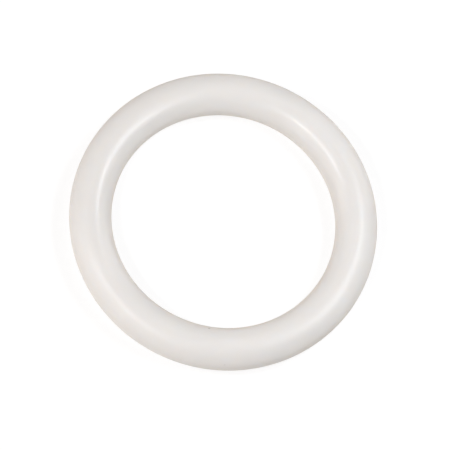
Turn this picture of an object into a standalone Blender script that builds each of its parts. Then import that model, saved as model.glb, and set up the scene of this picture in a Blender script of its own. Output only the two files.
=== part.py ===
"""A moulded gymnastics hand hoop: a closed round ring of milky white plastic with a thick, hollow grip.

The ring lies flat with its axis along +Z and its lowest line at z = 0. Two half shells meet at the
mid-plane. The front shell's rims carry tongues, the rear shell's rims carry grooves, and a weld bead lies
under each tongue. Ribs brace the hollow grip. Run it with: blender --background --python part.py
"""

from math import asin, cos, pi, radians, sin

import bmesh
import bpy
from mathutils import Matrix

MM = 0.001

# Driving dimensions
OUTER_DIAMETER = 235 * MM
GRIP_DIAMETER = 32 * MM
WALL = 4.5 * MM
SEAM_GAP = 0.3 * MM  # between the two shells, and round every weld bead
CROWN_FLAT = 2 * MM  # width of the flat line that the ring rests on
TONGUE_WIDTH = 1.4 * MM
TONGUE_HEIGHT = 2 * MM
BEAD_HEIGHT = 0.6 * MM
RIB_COUNT = 24  # in each shell
RIB_THICKNESS = 2.4 * MM
RIB_DEPTH = 5.5 * MM  # how far a rib stands in from the wall
RIB_SETBACK = 0.6 * MM  # of a rib's ends from the mid-plane
RIB_ROOT = 0.75 * MM  # how deep a rib is buried in the wall that it is joined to

# Sizes that follow from them
GRIP_RADIUS = GRIP_DIAMETER / 2
RING_RADIUS = OUTER_DIAMETER / 2 - GRIP_RADIUS  # from the ring's axis to the middle of the grip
BORE_RADIUS = GRIP_RADIUS - WALL
RIM_MIDDLE = (GRIP_RADIUS + BORE_RADIUS) / 2
RIM_HEIGHT = SEAM_GAP / 2  # each rim's face stands off the mid-plane by this much
TONGUE_REACH = TONGUE_HEIGHT - RIM_HEIGHT  # past the mid-plane
GROOVE_WIDTH = TONGUE_WIDTH + 2 * SEAM_GAP
BEAD_TOP = TONGUE_REACH + SEAM_GAP  # below the mid-plane
BEAD_BOTTOM = BEAD_TOP + BEAD_HEIGHT
GROOVE_DEPTH = BEAD_BOTTOM + SEAM_GAP

# Smoothness
RING_STEPS = 72
GRIP_ARC_STEPS = 6  # in a quarter of the grip's section
BORE_ARC_STEPS = 4
RIB_ARC_STEPS = 5
SHARP_ANGLE = radians(35)

FRONT, REAR = 1, -1
SHELL_COLOUR = (0.84, 0.81, 0.77, 1.0)
SHELL_ROUGHNESS = 0.32
BEAD_COLOUR = (0.78, 0.74, 0.68, 1.0)
BEAD_ROUGHNESS = 0.22


def clear_scene():
    for obj in list(bpy.data.objects):
        bpy.data.objects.remove(obj)


def plastic(name, colour, roughness):
    material = bpy.data.materials.new(name)
    material.use_nodes = True
    shader = material.node_tree.nodes["Principled BSDF"]
    shader.inputs["Base Color"].default_value = colour
    shader.inputs["Roughness"].default_value = roughness
    shader.inputs["Metallic"].default_value = 0.0
    return material


# Section outlines. A point is (across, up): metres from the grip's middle, outwards and away from the mid-plane.


def quarter_arc(radius, lowest, steps):
    """From the rim, at the height called lowest, round to the top of the section."""
    start = asin(lowest / radius)
    turns = [start + (pi / 2 - start) * i / steps for i in range(steps + 1)]
    return [(radius * cos(turn), radius * sin(turn)) for turn in turns]


def rim_step(width, level):
    """A step down to a level and back, halfway through the wall: a tongue below the rim or a groove above it."""
    outside = RIM_MIDDLE + width / 2
    inside = RIM_MIDDLE - width / 2
    return [(outside, RIM_HEIGHT), (outside, level), (inside, level), (inside, RIM_HEIGHT)]


def both_sides(half, side):
    """Closes half an outline with its mirror image, and turns the rear shell's outline upside down."""
    mirrored = [(-across, up) for across, up in reversed(half) if across > 1e-9]
    return [(across, side * up) for across, up in half + mirrored]


def shell_outline(side, step):
    wall = quarter_arc(GRIP_RADIUS, RIM_HEIGHT, GRIP_ARC_STEPS)
    wall[-1] = (CROWN_FLAT / 2, GRIP_RADIUS)
    bore = quarter_arc(BORE_RADIUS, RIM_HEIGHT, BORE_ARC_STEPS)
    return both_sides(wall[::-1] + step + bore, side)


def rib_outline(side):
    """A horseshoe that follows the inside of the wall."""
    root = quarter_arc(BORE_RADIUS + RIB_ROOT, RIB_SETBACK, RIB_ARC_STEPS)
    edge = quarter_arc(BORE_RADIUS - RIB_DEPTH, RIB_SETBACK, RIB_ARC_STEPS)
    right = [(across, side * up) for across, up in root[::-1] + edge]
    left = [(-across, up) for across, up in reversed(right[1:-1])]
    return right + left


def bead_outline(across):
    """What the weld leaves in the bottom of the groove, under the tongue."""
    left = across - TONGUE_WIDTH / 2
    right = across + TONGUE_WIDTH / 2
    return [(left, -BEAD_TOP), (right, -BEAD_TOP), (right, -BEAD_BOTTOM), (left, -BEAD_BOTTOM)]


# Solids


def place_outline(mesh, outline):
    """Stands an outline up at the ring's +X side, in the plane of the ring's axis."""
    verts = [mesh.verts.new((RING_RADIUS + across, 0, up)) for across, up in outline]
    edges = [mesh.edges.new(pair) for pair in zip(verts, verts[1:] + verts[:1])]
    return verts, edges


def add_object(name, mesh):
    """An object whose mid-plane is lifted so that the ring stands on z = 0."""
    bmesh.ops.recalc_face_normals(mesh, faces=mesh.faces)
    data = bpy.data.meshes.new(name)
    mesh.to_mesh(data)
    mesh.free()
    data.shade_smooth()
    data.set_sharp_from_angle(angle=SHARP_ANGLE)
    obj = bpy.data.objects.new(name, data)
    obj.location.z = GRIP_RADIUS
    bpy.context.scene.collection.objects.link(obj)
    return obj


def turned_ring(name, outline, material):
    """The outline spun once round the ring's axis."""
    mesh = bmesh.new()
    verts, edges = place_outline(mesh, outline)
    bmesh.ops.spin(
        mesh,
        geom=verts + edges,
        cent=(0, 0, 0),
        axis=(0, 0, 1),
        angle=2 * pi,
        steps=RING_STEPS,
        use_merge=True,
    )
    ring = add_object(name, mesh)
    ring.data.materials.append(material)
    return ring


def rib_guide(name, side):
    """All of one shell's ribs: plates that stand on the ring's radii, evenly spaced."""
    mesh = bmesh.new()
    verts, _ = place_outline(mesh, rib_outline(side))
    bmesh.ops.translate(mesh, verts=verts, vec=(0, -RIB_THICKNESS / 2, 0))
    extruded = bmesh.ops.extrude_face_region(mesh, geom=[mesh.faces.new(verts)])["geom"]
    far_verts = [item for item in extruded if isinstance(item, bmesh.types.BMVert)]
    bmesh.ops.translate(mesh, verts=far_verts, vec=(0, RIB_THICKNESS, 0))
    first_rib = mesh.verts[:] + mesh.edges[:] + mesh.faces[:]
    for i in range(1, RIB_COUNT):
        rib = bmesh.ops.duplicate(mesh, geom=first_rib)["geom"]
        rib_verts = [item for item in rib if isinstance(item, bmesh.types.BMVert)]
        turn = Matrix.Rotation(2 * pi * i / RIB_COUNT, 3, "Z")
        bmesh.ops.rotate(mesh, verts=rib_verts, cent=(0, 0, 0), matrix=turn)
    guide = add_object(name, mesh)
    guide.hide_render = True
    guide.display_type = "WIRE"
    return guide


def half_shell(name, side, step, material):
    shell = turned_ring(name, shell_outline(side, step), material)
    ribs = shell.modifiers.new("ribs", "BOOLEAN")
    ribs.operation = "UNION"
    ribs.solver = "EXACT"
    ribs.object = rib_guide(name + "_ribs", side)


def main():
    clear_scene()
    milky = plastic("milky_plastic", SHELL_COLOUR, SHELL_ROUGHNESS)
    melted = plastic("melted_plastic", BEAD_COLOUR, BEAD_ROUGHNESS)
    half_shell("front_half_shell", FRONT, rim_step(TONGUE_WIDTH, -TONGUE_REACH), milky)
    half_shell("rear_half_shell", REAR, rim_step(GROOVE_WIDTH, GROOVE_DEPTH), milky)
    turned_ring("outer_weld_bead", bead_outline(RIM_MIDDLE), melted)
    turned_ring("inner_weld_bead", bead_outline(-RIM_MIDDLE), melted)


main()
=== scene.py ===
"""Looks for the moulded gymnastics ring: turned shells of milky plastic, joined by a squeezed-out weld.

The shells and weld beads stand for the frame's plain solids, and take every size from them. The ring lies
on a pale light table under studio lamps. Lengths are in metres. The places of marks, lamps and the camera are
in degrees.
"""

from math import asin, atan2, cos, pi, radians, sin

import bmesh
import bpy
from mathutils import Matrix, Quaternion, Vector, noise


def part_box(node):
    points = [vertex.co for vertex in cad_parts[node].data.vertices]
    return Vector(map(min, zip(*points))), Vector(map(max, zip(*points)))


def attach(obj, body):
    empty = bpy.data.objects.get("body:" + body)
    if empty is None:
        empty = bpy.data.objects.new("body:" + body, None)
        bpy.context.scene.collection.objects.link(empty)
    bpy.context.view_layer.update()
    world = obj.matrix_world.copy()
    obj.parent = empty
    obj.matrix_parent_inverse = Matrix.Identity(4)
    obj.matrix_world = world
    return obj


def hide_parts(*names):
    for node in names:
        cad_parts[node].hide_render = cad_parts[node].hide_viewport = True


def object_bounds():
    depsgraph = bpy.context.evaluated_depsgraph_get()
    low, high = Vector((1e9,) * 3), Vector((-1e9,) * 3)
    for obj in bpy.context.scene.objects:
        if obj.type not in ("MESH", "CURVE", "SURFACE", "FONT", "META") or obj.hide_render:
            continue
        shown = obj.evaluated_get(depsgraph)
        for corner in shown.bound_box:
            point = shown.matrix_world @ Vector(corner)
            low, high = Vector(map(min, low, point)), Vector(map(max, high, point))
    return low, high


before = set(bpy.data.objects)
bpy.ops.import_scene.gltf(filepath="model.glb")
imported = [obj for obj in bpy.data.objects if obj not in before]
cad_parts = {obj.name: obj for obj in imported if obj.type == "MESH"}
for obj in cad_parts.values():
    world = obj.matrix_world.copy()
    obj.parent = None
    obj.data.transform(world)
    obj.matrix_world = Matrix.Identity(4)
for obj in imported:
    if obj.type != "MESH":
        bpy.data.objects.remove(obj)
cad_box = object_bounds()

MM = 0.001

# Sizes read from the frame
OUTER_RADIUS = cad_box[1].x
GRIP_RADIUS = cad_box[1].z / 2
RING_RADIUS = OUTER_RADIUS - GRIP_RADIUS
MID_PLANE = GRIP_RADIUS
RIM_HEIGHT = MID_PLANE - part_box("rear_half_shell")[1].z
SEAM_GAP = 2 * RIM_HEIGHT
OUTER_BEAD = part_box("outer_weld_bead")
INNER_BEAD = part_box("inner_weld_bead")
TONGUE_WIDTH = OUTER_BEAD[1].x + INNER_BEAD[1].x - 2 * RING_RADIUS
RIM_MIDDLE = (OUTER_BEAD[1].x - INNER_BEAD[1].x) / 2
BORE_RADIUS = 2 * RIM_MIDDLE - GRIP_RADIUS
TONGUE_REACH = MID_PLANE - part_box("front_half_shell")[0].z
GROOVE_WIDTH = TONGUE_WIDTH + 2 * SEAM_GAP
BEAD_TOP = MID_PLANE - OUTER_BEAD[1].z
BEAD_BOTTOM = MID_PLANE - OUTER_BEAD[0].z
GROOVE_DEPTH = BEAD_BOTTOM + SEAM_GAP

# The ribs, as the frame has them
RIB_COUNT = 24
RIB_THICKNESS = 2.4 * MM
RIB_DEPTH = 5.5 * MM
RIB_SETBACK = 0.6 * MM
RIB_ROOT = 0.75 * MM

# Fineness of the turned meshes
RING_STEPS = 360
GRIP_ARC_STEPS = 26
BORE_ARC_STEPS = 12
RIB_ARC_STEPS = 16
CORNER_STEPS = 4
BALL_FINENESS = 5
SHARP_ANGLE = radians(30)
CORNER_SHARE = 0.45  # the most of an edge that one corner's curve may take up

# How the real ring differs from the plain solids
RIM_ROUNDING = 0.35 * MM
WELD_ROUNDING = 0.12 * MM
WEB_FILL = 0.7  # how much of the seam's gap the web of melt fills
LIP_SETBACK = 0.12 * MM
LIP_BULGE = 0.1 * MM
LIP_CROWN = 0.4
SLOW_WAVE = 0.08 * MM
FINE_WAVE = 0.03 * MM
WAVES_PER_RADIUS = 5

FRONT, REAR = 1, -1
OUTWARDS, INWARDS = 1, -1

# Marks of use, each at an angle round the ring and an angle up the grip's section from its outer side
NICK_PLACE = (283.2, 138.0)
NICK_WIDTH = 2.6 * MM
NICK_DEPTH = 0.35 * MM
NICK_DIRT = 0.50
SPECK_PLACE = (291.0, 26.6)
SPECK_WIDTH = 1.3 * MM
SPECK_DIRT = 0.30


# Geometry


def quarter_arc(radius, lowest, steps):
    """Points (across, up) from the rim, at the height called lowest, round to the top of the section."""
    start = asin(lowest / radius)
    turns = [start + (pi / 2 - start) * i / steps for i in range(steps + 1)]
    return [(radius * cos(turn), radius * sin(turn)) for turn in turns]


def rounded(outline, radius):
    """The closed outline with its sharp corners turned into small curves."""
    points = []
    for i, corner in enumerate(outline):
        here = Vector(corner)
        before = Vector(outline[i - 1]) - here
        after = Vector(outline[(i + 1) % len(outline)]) - here
        if before.angle(-after) < SHARP_ANGLE:
            points.append(corner)
            continue
        reach = min(radius, before.length * CORNER_SHARE, after.length * CORNER_SHARE)
        start = here + before.normalized() * reach
        end = here + after.normalized() * reach
        for k in range(CORNER_STEPS + 1):
            t = k / CORNER_STEPS
            point = start * (1 - t) ** 2 + here * 2 * t * (1 - t) + end * t**2
            points.append((point.x, point.y))
    return points


def rim_step(width, level):
    """The rim's tongue or groove: this wide, and with its end or bottom at this level."""
    outside = RIM_MIDDLE + width / 2
    inside = RIM_MIDDLE - width / 2
    return [(outside, RIM_HEIGHT), (outside, level), (inside, level), (inside, RIM_HEIGHT)]


def shell_outline(side, step):
    """One shell's section: the grip's skin, the rims with their step, and the hollow."""
    wall = quarter_arc(GRIP_RADIUS, RIM_HEIGHT, GRIP_ARC_STEPS)
    bore = quarter_arc(BORE_RADIUS, RIM_HEIGHT, BORE_ARC_STEPS)
    half = wall[::-1] + step + bore
    whole = half + [(-across, up) for across, up in half[-2:0:-1]]
    return [(across, side * up) for across, up in rounded(whole, RIM_ROUNDING)]


def rib_outline(side):
    """A rib's section, which reaches a little into the wall so that the two join."""
    root = quarter_arc(BORE_RADIUS + RIB_ROOT, RIB_SETBACK, RIB_ARC_STEPS)
    edge = quarter_arc(BORE_RADIUS - RIB_DEPTH, RIB_SETBACK, RIB_ARC_STEPS)
    half = root[::-1] + edge
    whole = half + [(-across, up) for across, up in half[-2:0:-1]]
    return [(across, side * up) for across, up in whole]


def weld_outline(side):
    """The bead under the tongue, and the web of melt that rose beside the tongue and out through the seam."""
    web = WEB_FILL * SEAM_GAP / 2
    bead_side = RIM_MIDDLE - TONGUE_WIDTH / 2
    rise = RIM_MIDDLE + TONGUE_WIDTH / 2 + SEAM_GAP / 2
    lip = GRIP_RADIUS - LIP_SETBACK
    outline = [
        (bead_side, -BEAD_TOP),
        (rise - web, -BEAD_TOP),
        (rise - web, web),
        (lip, web),
        (lip + LIP_BULGE, LIP_CROWN * web),
        (lip + LIP_BULGE, -LIP_CROWN * web),
        (lip, -web),
        (rise + web, -web),
        (rise + web, -BEAD_BOTTOM),
        (bead_side, -BEAD_BOTTOM),
    ]
    return [(side * across, up) for across, up in rounded(outline, WELD_ROUNDING)]


def unevenness(around, section):
    """How far the moulded surface has sunk at this place: a slow wave that is the same on both shells."""
    slow = 0.5 + 0.25 * sin(3 * around + 1.3) + 0.25 * sin(5 * around + 2 * sin(section))
    place = Vector((cos(around), sin(around), 0.25 * sin(section))) * WAVES_PER_RADIUS
    return SLOW_WAVE * slow + FINE_WAVE * (1 + noise.noise(place)) / 2


def skin_point(around, section, lift=0.0):
    """The point on the grip's surface at these angles in degrees, or that far above the surface."""
    reach = GRIP_RADIUS + lift
    across = RING_RADIUS + reach * cos(radians(section))
    height = MID_PLANE + reach * sin(radians(section))
    return Vector((across * cos(radians(around)), across * sin(radians(around)), height))


def turned_mesh(outline):
    """The outline spun round the ring's axis, with the moulded surface's slight unevenness."""
    mesh = bmesh.new()
    verts = [mesh.verts.new((RING_RADIUS + across, 0, up)) for across, up in outline]
    edges = [mesh.edges.new(pair) for pair in zip(verts, verts[1:] + verts[:1])]
    bmesh.ops.spin(
        mesh,
        geom=verts + edges,
        cent=(0, 0, 0),
        axis=(0, 0, 1),
        angle=2 * pi,
        steps=RING_STEPS,
        use_merge=True,
    )
    for vert in mesh.verts:
        outwards = Vector((vert.co.x, vert.co.y, 0)).normalized()
        away = vert.co - outwards * RING_RADIUS
        if away.length > RIM_MIDDLE + TONGUE_WIDTH:
            around = atan2(vert.co.y, vert.co.x)
            section = atan2(vert.co.z, away.dot(outwards))
            vert.co -= away.normalized() * unevenness(around, section)
    bmesh.ops.recalc_face_normals(mesh, faces=mesh.faces)
    return mesh


def in_order(mesh):
    """The mesh rebuilt with its points and faces sorted, since Blender's tools leave them in any order."""
    points = [tuple(vert.co) for vert in mesh.vertices]
    old_places = sorted(range(len(points)), key=points.__getitem__)
    new_places = {old: new for new, old in enumerate(old_places)}
    faces = []
    for face in mesh.polygons:
        corners = [new_places[old] for old in face.vertices]
        first = corners.index(min(corners))
        faces.append(corners[first:] + corners[:first])
    made = bpy.data.meshes.new("ordered")
    made.from_pydata([points[old] for old in old_places], [], sorted(faces))
    for material in mesh.materials:
        made.materials.append(material)
    name = mesh.name
    bpy.data.meshes.remove(mesh)
    made.name = name
    return made


def add_object(name, mesh, material=None):
    """Makes an object of the mesh, which was built round the ring's middle, and lifts it onto the floor."""
    data = bpy.data.meshes.new(name)
    mesh.to_mesh(data)
    mesh.free()
    data = in_order(data)
    data.transform(Matrix.Translation((0, 0, MID_PLANE)))
    data.shade_smooth()
    data.set_sharp_from_angle(angle=SHARP_ANGLE)
    obj = bpy.data.objects.new(name, data)
    bpy.context.scene.collection.objects.link(obj)
    if material:
        data.materials.append(material)
    return obj


def rib_guide(name, side):
    """All of one shell's ribs, as the frame has them."""
    mesh = bmesh.new()
    verts = [mesh.verts.new((RING_RADIUS + across, 0, up)) for across, up in rib_outline(side)]
    bmesh.ops.translate(mesh, verts=verts, vec=(0, -RIB_THICKNESS / 2, 0))
    extruded = bmesh.ops.extrude_face_region(mesh, geom=[mesh.faces.new(verts)])["geom"]
    far_verts = [item for item in extruded if isinstance(item, bmesh.types.BMVert)]
    bmesh.ops.translate(mesh, verts=far_verts, vec=(0, RIB_THICKNESS, 0))
    first_rib = mesh.verts[:] + mesh.edges[:] + mesh.faces[:]
    for i in range(1, RIB_COUNT):
        rib = bmesh.ops.duplicate(mesh, geom=first_rib)["geom"]
        rib_verts = [item for item in rib if isinstance(item, bmesh.types.BMVert)]
        turn = Matrix.Rotation(2 * pi * i / RIB_COUNT, 3, "Z")
        bmesh.ops.rotate(mesh, verts=rib_verts, cent=(0, 0, 0), matrix=turn)
    bmesh.ops.recalc_face_normals(mesh, faces=mesh.faces)
    return add_object(name, mesh)


def nick_cutter():
    """A ball that dips into the grip as deep and as wide as the nick."""
    radius = (NICK_WIDTH**2 / 4 + NICK_DEPTH**2) / (2 * NICK_DEPTH)
    mesh = bmesh.new()
    bmesh.ops.create_icosphere(mesh, subdivisions=BALL_FINENESS, radius=radius)
    bmesh.ops.translate(mesh, verts=mesh.verts, vec=skin_point(*NICK_PLACE, radius - NICK_DEPTH))
    bmesh.ops.translate(mesh, verts=mesh.verts, vec=(0, 0, -MID_PLANE))  # add_object lifts it again
    return add_object("nick", mesh)


def combine(piece, helper, operation):
    """Joins the helper to the piece, or cuts it out, and removes the helper."""
    change = piece.modifiers.new("combine", "BOOLEAN")
    change.operation = operation
    change.solver = "EXACT"
    change.object = helper
    graph = bpy.context.evaluated_depsgraph_get()
    made = bpy.data.meshes.new_from_object(piece.evaluated_get(graph))
    piece.modifiers.clear()
    piece.data = in_order(made)
    bpy.data.objects.remove(helper)


# Materials

# The pale and the deep tone of each cloudy plastic
SHELL_WHITE = (0.763, 0.743, 0.723, 1), (0.743, 0.723, 0.701, 1)
WELD_WHITE = (0.745, 0.715, 0.675, 1), (0.725, 0.695, 0.655, 1)
DIRT = (0.28, 0.24, 0.20, 1)
DUST_DIRT = 0.3
DUST_LIMITS = 0.80, 0.84  # the dust's noise is clean below these and dusty above them
STAIN_CORE = 0.15  # a stain is at its strongest this near its middle, as a share of its width
STAIN_RAGGEDNESS = 0.2
LIGHT_REACH = 1.5 * MM  # how far light spreads under the skin

# Roughness: the smoothest plastic, and what dull patches, scuffing and scratches add to it
SMOOTHEST = 0.28
DULLNESS = 0.04
SCUFF = 0.10
SCRATCH = 0.2
SCUFF_FADE = 6 * MM  # the scuffing grows from this far inside the grip's middle to this far outside it

SCRATCH_DEPTH = 0.02 * MM
GRAIN_DEPTH = 0.010 * MM
PEEL_DEPTH = 0.06 * MM

# How fine the noise of each pattern is, in waves to the metre
CLOUD_NOISE = 22
DULL_NOISE = 70
PEEL_NOISE = 140
DUST_NOISE = 230
GRAIN_NOISE = 1400
STAIN_NOISE = 1500
PATCH_NOISE = 45  # where scratches lie together
PATCH_LIMITS = 0.52, 0.6
USUAL_NOISE = 0.3, 0.7  # most of a noise's values lie between these
HAIRLINE = 0.0022  # a scratch runs wherever its noise is this near its middle value


class Nodes:
    """Short ways to add and link the shader nodes of one new material."""

    def __init__(self, name):
        self.material = bpy.data.materials.new(name)
        self.material.use_nodes = True
        self.tree = self.material.node_tree
        self.shader = self.tree.nodes["Principled BSDF"]
        self.place = self.tree.nodes.new("ShaderNodeTexCoord").outputs["Object"]

    def set(self, **values):
        for name, value in values.items():
            self.shader.inputs[name.replace("_", " ")].default_value = value

    def link(self, source, name):
        self.tree.links.new(source, self.shader.inputs[name])

    def noise(self, scale, detail=2.0, roughness=0.5, stretch=(1, 1, 1), shift=(0, 0, 0)):
        mapping = self.tree.nodes.new("ShaderNodeMapping")
        mapping.inputs["Scale"].default_value = stretch
        mapping.inputs["Location"].default_value = shift
        self.tree.links.new(self.place, mapping.inputs["Vector"])
        node = self.tree.nodes.new("ShaderNodeTexNoise")
        node.inputs["Scale"].default_value = scale
        node.inputs["Detail"].default_value = detail
        node.inputs["Roughness"].default_value = roughness
        self.tree.links.new(mapping.outputs["Vector"], node.inputs["Vector"])
        return node.outputs["Fac"]

    def remap(self, value, low_in, high_in, low_out, high_out):
        node = self.tree.nodes.new("ShaderNodeMapRange")
        limits = {"From Min": low_in, "From Max": high_in, "To Min": low_out, "To Max": high_out}
        for name, number in limits.items():
            node.inputs[name].default_value = number
        self.tree.links.new(value, node.inputs["Value"])
        return node.outputs["Result"]

    def math(self, operation, a, b=0.0):
        node = self.tree.nodes.new("ShaderNodeMath")
        node.operation = operation
        for socket, value in zip(node.inputs, (a, b)):
            if isinstance(value, (int, float)):
                socket.default_value = value
            else:
                self.tree.links.new(value, socket)
        return node.outputs["Value"]

    def mix(self, factor, a, b):
        node = self.tree.nodes.new("ShaderNodeMix")
        node.data_type = "RGBA"
        for name, value in (("Factor", factor), ("A", a), ("B", b)):
            socket = next(s for s in node.inputs if s.name == name and s.enabled)
            if isinstance(value, (int, float, tuple)):
                socket.default_value = value
            else:
                self.tree.links.new(value, socket)
        return next(s for s in node.outputs if s.enabled)

    def distance(self, place):
        """How far each point of the surface is from the place."""
        node = self.tree.nodes.new("ShaderNodeVectorMath")
        node.operation = "DISTANCE"
        node.inputs[1].default_value = place
        self.tree.links.new(self.place, node.inputs[0])
        return node.outputs["Value"]

    def from_axis(self):
        """How far each point of the surface is from the ring's axis."""
        flat = self.tree.nodes.new("ShaderNodeVectorMath")
        flat.operation = "MULTIPLY"
        flat.inputs[1].default_value = (1, 1, 0)
        self.tree.links.new(self.place, flat.inputs[0])
        node = self.tree.nodes.new("ShaderNodeVectorMath")
        node.operation = "LENGTH"
        self.tree.links.new(flat.outputs["Vector"], node.inputs[0])
        return node.outputs["Value"]

    def bump(self, height, distance, before=None):
        node = self.tree.nodes.new("ShaderNodeBump")
        node.inputs["Distance"].default_value = distance
        self.tree.links.new(height, node.inputs["Height"])
        if before is not None:
            self.tree.links.new(before, node.inputs["Normal"])
        return node.outputs["Normal"]


def hairlines(nodes, scale, stretch, shift):
    """Thin curved scratches: 1 on a line and 0 between them."""
    field = nodes.noise(scale, detail=1.0, stretch=stretch, shift=shift)
    off_line = nodes.math("ABSOLUTE", nodes.math("SUBTRACT", field, 0.5))
    line = nodes.remap(off_line, 0.0, HAIRLINE, 1.0, 0.0)
    patch = nodes.remap(nodes.noise(PATCH_NOISE, shift=shift), *PATCH_LIMITS, 0.0, 1.0)
    return nodes.math("MULTIPLY", line, patch)


def stain(nodes, place, width, strength):
    """A ragged dirty spot round one place on the grip: its strength in the middle, and 0 outside it."""
    stray = STAIN_RAGGEDNESS * width
    ragged = nodes.remap(nodes.noise(STAIN_NOISE), 0.0, 1.0, -stray, stray)
    reach = nodes.math("ADD", nodes.distance(skin_point(*place)), ragged)
    return nodes.remap(reach, STAIN_CORE * width, width / 2, strength, 0.0)


def milky_plastic(name, pale, deep):
    """Cloudy white plastic that light sinks into, with the fine grain and scuffs of a used, moulded skin."""
    nodes = Nodes(name)
    nodes.set(
        Metallic=0.0,
        IOR=1.49,
        Subsurface_Weight=0.4,
        Subsurface_Radius=(1.0, 0.85, 0.7),
        Subsurface_Scale=LIGHT_REACH,
        Subsurface_Anisotropy=0.0,
    )
    cloud = nodes.remap(nodes.noise(CLOUD_NOISE, detail=4.0, roughness=0.55), *USUAL_NOISE, 0.0, 1.0)
    nick = stain(nodes, NICK_PLACE, NICK_WIDTH, NICK_DIRT)
    speck = stain(nodes, SPECK_PLACE, SPECK_WIDTH, SPECK_DIRT)
    dust = nodes.remap(nodes.noise(DUST_NOISE, shift=(4.2, 9.1, 6.3)), *DUST_LIMITS, 0.0, DUST_DIRT)
    dirt = nodes.math("MAXIMUM", dust, nodes.math("MAXIMUM", nick, speck))
    nodes.link(nodes.mix(dirt, nodes.mix(cloud, deep, pale), DIRT), "Base Color")

    scratches = nodes.math(
        "MAXIMUM",
        hairlines(nodes, 38, (1.0, 0.35, 1.0), (3.1, 0.4, 1.7)),
        hairlines(nodes, 30, (0.3, 1.0, 0.8), (7.7, 2.2, 5.1)),
    )
    patches = nodes.noise(DULL_NOISE, detail=5.0, roughness=0.6)
    dull = nodes.remap(patches, *USUAL_NOISE, SMOOTHEST, SMOOTHEST + DULLNESS)
    scuffed = nodes.remap(nodes.from_axis(), RING_RADIUS - SCUFF_FADE, RING_RADIUS + SCUFF_FADE, 0.0, SCUFF)
    worn = nodes.math("ADD", scuffed, nodes.math("MULTIPLY", scratches, SCRATCH))
    nodes.link(nodes.math("ADD", dull, worn), "Roughness")

    grain = nodes.bump(nodes.noise(GRAIN_NOISE), GRAIN_DEPTH)
    peel = nodes.bump(nodes.noise(PEEL_NOISE), PEEL_DEPTH, grain)
    nodes.link(nodes.bump(nodes.math("MULTIPLY", scratches, -1.0), SCRATCH_DEPTH, peel), "Normal")
    return nodes.material


def light_table(name):
    """A matt white sheet, evenly lit from below."""
    nodes = Nodes(name)
    nodes.set(
        Metallic=0.0,
        Specular_IOR_Level=0.2,
        Roughness=0.9,
        Emission_Color=(1.0, 1.0, 1.0, 1),
        Emission_Strength=FLOOR_GLOW,
    )
    tone = nodes.remap(nodes.noise(FLOOR_NOISE, detail=3.0), *USUAL_NOISE, 0.0, 1.0)
    nodes.link(nodes.mix(tone, *FLOOR_GREYS), "Base Color")
    return nodes.material


# The object


def make_shell(name, node, side, step, material):
    shell = add_object(name, turned_mesh(shell_outline(side, step)), material)
    combine(shell, rib_guide(name + "_ribs", side), "UNION")
    if side == FRONT:
        combine(shell, nick_cutter(), "DIFFERENCE")
    shell.data.shade_smooth()
    shell.data.set_sharp_from_angle(angle=SHARP_ANGLE)
    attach(shell, "root")
    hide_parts(node)


def make_weld(name, node, side, material):
    weld = add_object(name, turned_mesh(weld_outline(side)), material)
    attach(weld, "root")
    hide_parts(node)


def make_ring():
    shell_plastic = milky_plastic("milky_plastic", *SHELL_WHITE)
    weld_plastic = milky_plastic("melted_plastic", *WELD_WHITE)
    tongue = rim_step(TONGUE_WIDTH, -TONGUE_REACH)
    groove = rim_step(GROOVE_WIDTH, GROOVE_DEPTH)
    make_shell("front_shell", "front_half_shell", FRONT, tongue, shell_plastic)
    make_shell("rear_shell", "rear_half_shell", REAR, groove, shell_plastic)
    make_weld("outer_weld", "outer_weld_bead", OUTWARDS, weld_plastic)
    make_weld("inner_weld", "inner_weld_bead", INWARDS, weld_plastic)


# The studio

CAMERA_ELEVATION = 70.5
CAMERA_ROLL = 22.3
CAMERA_DISTANCE = 3.0
CAMERA_LENS = 316.9
FRAMING = (0.9 * MM, -3.35 * MM)  # the camera aims this far right of and above the ring's middle

FLOOR_SIZE = 200.0
FLOOR_GLOW = 0.72
FLOOR_NOISE = 6
FLOOR_GREYS = (0.30, 0.30, 0.30, 1), (0.31, 0.31, 0.31, 1)

COOL, WHITE, WARM = (0.94, 1.0, 1.05), (1.02, 1.0, 0.99), (1.07, 1.0, 0.94)

# The room's light by height: 0 is straight down, 0.5 the horizon and 1 straight up
HAZE = (0.80, 0.795, 0.79, 1)
ROOM = [
    (0.46, (0.55, 0.40, 0.26, 1)),
    (0.48, HAZE),
    (0.51, HAZE),
    (0.55, (0.01, 0.01, 0.01, 1)),
    (0.75, (0.12, 0.10, 0.09, 1)),
    (0.875, (0.26, 0.23, 0.21, 1)),
    (1.0, (0.46, 0.41, 0.38, 1)),
]


def place_camera():
    tilt = radians(CAMERA_ELEVATION)
    back = Vector((0, -cos(tilt), sin(tilt)))
    turn = back.to_track_quat("Z", "Y") @ Quaternion((0, 0, 1), radians(CAMERA_ROLL))
    aim = Vector((0, 0, MID_PLANE)) + turn @ Vector((*FRAMING, 0))
    data = bpy.data.cameras.new("camera")
    data.lens = CAMERA_LENS
    camera = bpy.data.objects.new("camera", data)
    camera.rotation_mode = "QUATERNION"
    camera.rotation_quaternion = turn
    camera.location = aim + back * CAMERA_DISTANCE
    bpy.context.scene.collection.objects.link(camera)
    bpy.context.scene.camera = camera


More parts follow.
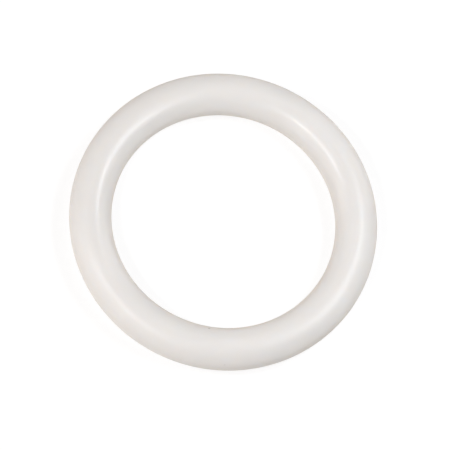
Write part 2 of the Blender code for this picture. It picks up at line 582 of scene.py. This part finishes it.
def softbox(name, stand, size, power, tint, turn=0):
    """A round or oval soft light that faces the ring.

    It stands at an azimuth (0 is +X and 90 is +Y), an elevation and a distance, and turns about its own aim.
    """
    azimuth, elevation, distance = stand
    around, up = radians(azimuth), radians(elevation)
    towards = Vector((cos(around) * cos(up), sin(around) * cos(up), sin(up)))
    data = bpy.data.lights.new(name, "AREA")
    data.shape = "ELLIPSE"
    data.size, data.size_y = size
    data.energy = power
    data.color = tint
    light = bpy.data.objects.new(name, data)
    light.location = towards * distance
    light.rotation_mode = "QUATERNION"
    light.rotation_quaternion = towards.to_track_quat("Z", "Y") @ Quaternion((0, 0, 1), radians(turn))
    light.visible_camera = False
    bpy.context.scene.collection.objects.link(light)


def studio_air(name):
    """The light from all round: a soft ceiling, pale haze at the horizon, and a warm room below the floor."""
    world = bpy.data.worlds.new(name)
    world.use_nodes = True
    tree = world.node_tree
    parts = tree.nodes.new("ShaderNodeSeparateXYZ")
    tree.links.new(tree.nodes.new("ShaderNodeTexCoord").outputs["Generated"], parts.inputs["Vector"])
    height = tree.nodes.new("ShaderNodeMapRange")
    height.inputs["From Min"].default_value = -1.0
    tree.links.new(parts.outputs["Z"], height.inputs["Value"])
    ramp = tree.nodes.new("ShaderNodeValToRGB")
    tree.links.new(height.outputs["Result"], ramp.inputs["Fac"])
    stops = ramp.color_ramp.elements
    stops.remove(stops[1])
    stops[0].position, stops[0].color = ROOM[0]
    for place, colour in ROOM[1:]:
        stops.new(place).color = colour
    tree.links.new(ramp.outputs["Color"], tree.nodes["Background"].inputs["Color"])
    return world


def make_floor():
    """The light table. The ring's gloss doesn't see it, which gives the ring the photo's dark, warm edges."""
    mesh = bmesh.new()
    bmesh.ops.create_grid(mesh, x_segments=1, y_segments=1, size=FLOOR_SIZE / 2)
    data = bpy.data.meshes.new("floor")
    mesh.to_mesh(data)
    mesh.free()
    data.materials.append(light_table("light_table"))
    floor = bpy.data.objects.new("floor", data)
    floor.visible_glossy = False
    bpy.context.scene.collection.objects.link(floor)


def make_studio():
    make_floor()
    bpy.context.scene.world = studio_air("studio")
    bpy.context.scene.view_settings.view_transform = "Standard"

    softbox("window", (24, 60, 1.3), (0.95, 0.40), 6.6, COOL, turn=5)
    softbox("window_top", (57, 58, 1.3), (0.45, 0.45), 1.2, COOL, turn=-28)
    softbox("window_glow", (24, 45, 1.4), (1.3, 1.0), 1.2, COOL, turn=8)
    softbox("left_lamp", (211, 51, 2.4), (0.42, 0.42), 9.2, COOL)
    softbox("near_lamp", (245.5, 55, 2.4), (0.28, 0.28), 9.4, WHITE)
    softbox("lamp_glow", (228, 50, 2.2), (1.7, 1.2), 4.8, WHITE)
    softbox("far_fill", (60, 18, 2.4), (1.4, 1.4), 9.0, WARM)
    softbox("left_fill", (200, 18, 2.4), (1.4, 1.4), 9.0, WARM)
    softbox("near_fill", (240, 18, 2.4), (1.4, 1.4), 7.8, WHITE)


make_ring()
make_studio()
place_camera()
